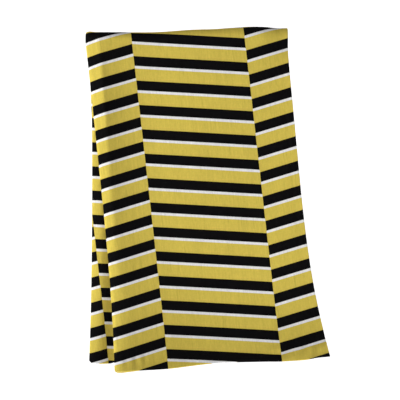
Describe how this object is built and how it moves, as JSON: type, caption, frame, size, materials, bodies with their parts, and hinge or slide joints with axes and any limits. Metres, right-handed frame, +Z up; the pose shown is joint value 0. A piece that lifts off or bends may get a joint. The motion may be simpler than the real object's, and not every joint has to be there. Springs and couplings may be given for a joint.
{
  "type": "golf towel",
  "caption": "Striped golf towel, folded lengthwise and hung over a rail, with a crown and two drops that lift outwards.",
  "frame": {"origin": "on the axis of the rail that the towel hangs over, at the middle of the crown", "axes": "+X along the rail, to the viewer's right; -Y towards the front drop's face; +Z up"},
  "size_m": [0.2171, 0.0413, 0.312],
  "materials": {
    "printed_face": "matte plain weave, printed with black, white and yellow stripes",
    "reverse": "matte plain weave, the print showing through faintly",
    "hem": "double-turned hem of the printed cloth",
    "thread": "spun polyester sewing thread"
  },
  "bodies": {
    "crown": {"crown_face_fold": "printed_face", "crown_face_ply": "printed_face", "crown_face_ply_side_hem": "hem", "crown_face_ply_side_stitching": "thread", "crown_inner_fold": "reverse", "crown_pleat_ply": "reverse", "crown_turned_ply": "printed_face", "crown_turned_ply_side_hem": "hem", "crown_turned_ply_side_stitching": "thread", "crown_under_fold": "printed_face", "crown_under_ply": "printed_face"},
    "front_drop": {"front_face_fold": "printed_face", "front_face_ply": "printed_face", "front_face_ply_foot_hem": "hem", "front_face_ply_foot_stitching": "thread", "front_face_ply_side_hem": "hem", "front_face_ply_side_stitching": "thread", "front_inner_fold": "reverse", "front_pleat_ply": "reverse", "front_pleat_ply_foot_hem": "hem", "front_pleat_ply_foot_stitching": "thread", "front_turned_ply": "printed_face", "front_turned_ply_foot_hem": "hem", "front_turned_ply_foot_stitching": "thread", "front_turned_ply_side_hem": "hem", "front_turned_ply_side_stitching": "thread", "front_under_fold": "printed_face", "front_under_ply": "printed_face", "front_under_ply_foot_hem": "hem", "front_under_ply_foot_stitching": "thread"},
    "back_drop": {"back_face_fold": "printed_face", "back_face_ply": "printed_face", "back_face_ply_foot_hem": "hem", "back_face_ply_foot_stitching": "thread", "back_face_ply_side_hem": "hem", "back_face_ply_side_stitching": "thread", "back_inner_fold": "reverse", "back_pleat_ply": "reverse", "back_pleat_ply_foot_hem": "hem", "back_pleat_ply_foot_stitching": "thread", "back_turned_ply": "printed_face", "back_turned_ply_foot_hem": "hem", "back_turned_ply_foot_stitching": "thread", "back_turned_ply_side_hem": "hem", "back_turned_ply_side_stitching": "thread", "back_under_fold": "printed_face", "back_under_ply": "printed_face", "back_under_ply_foot_hem": "hem", "back_under_ply_foot_stitching": "thread"}
  },
  "joints": [
    {"name": "front_lift", "type": "hinge", "parent": "crown", "child": "front_drop", "pos_m": [0, -0.0104, 0.0104], "axis": [-1, 0, 0], "range_deg": [0, 90], "deforming": ["crown_face_fold", "crown_face_ply", "crown_face_ply_side_hem", "crown_face_ply_side_stitching", "crown_inner_fold", "crown_pleat_ply", "crown_turned_ply", "crown_turned_ply_side_hem", "crown_turned_ply_side_stitching", "crown_under_fold", "crown_under_ply"]},
    {"name": "back_lift", "type": "hinge", "parent": "crown", "child": "back_drop", "pos_m": [0, 0.0104, 0.0104], "axis": [1, 0, 0], "range_deg": [0, 90], "deforming": ["crown_face_fold", "crown_face_ply", "crown_face_ply_side_hem", "crown_face_ply_side_stitching", "crown_inner_fold", "crown_pleat_ply", "crown_turned_ply", "crown_turned_ply_side_hem", "crown_turned_ply_side_stitching", "crown_under_fold", "crown_under_ply"]}
  ]
}
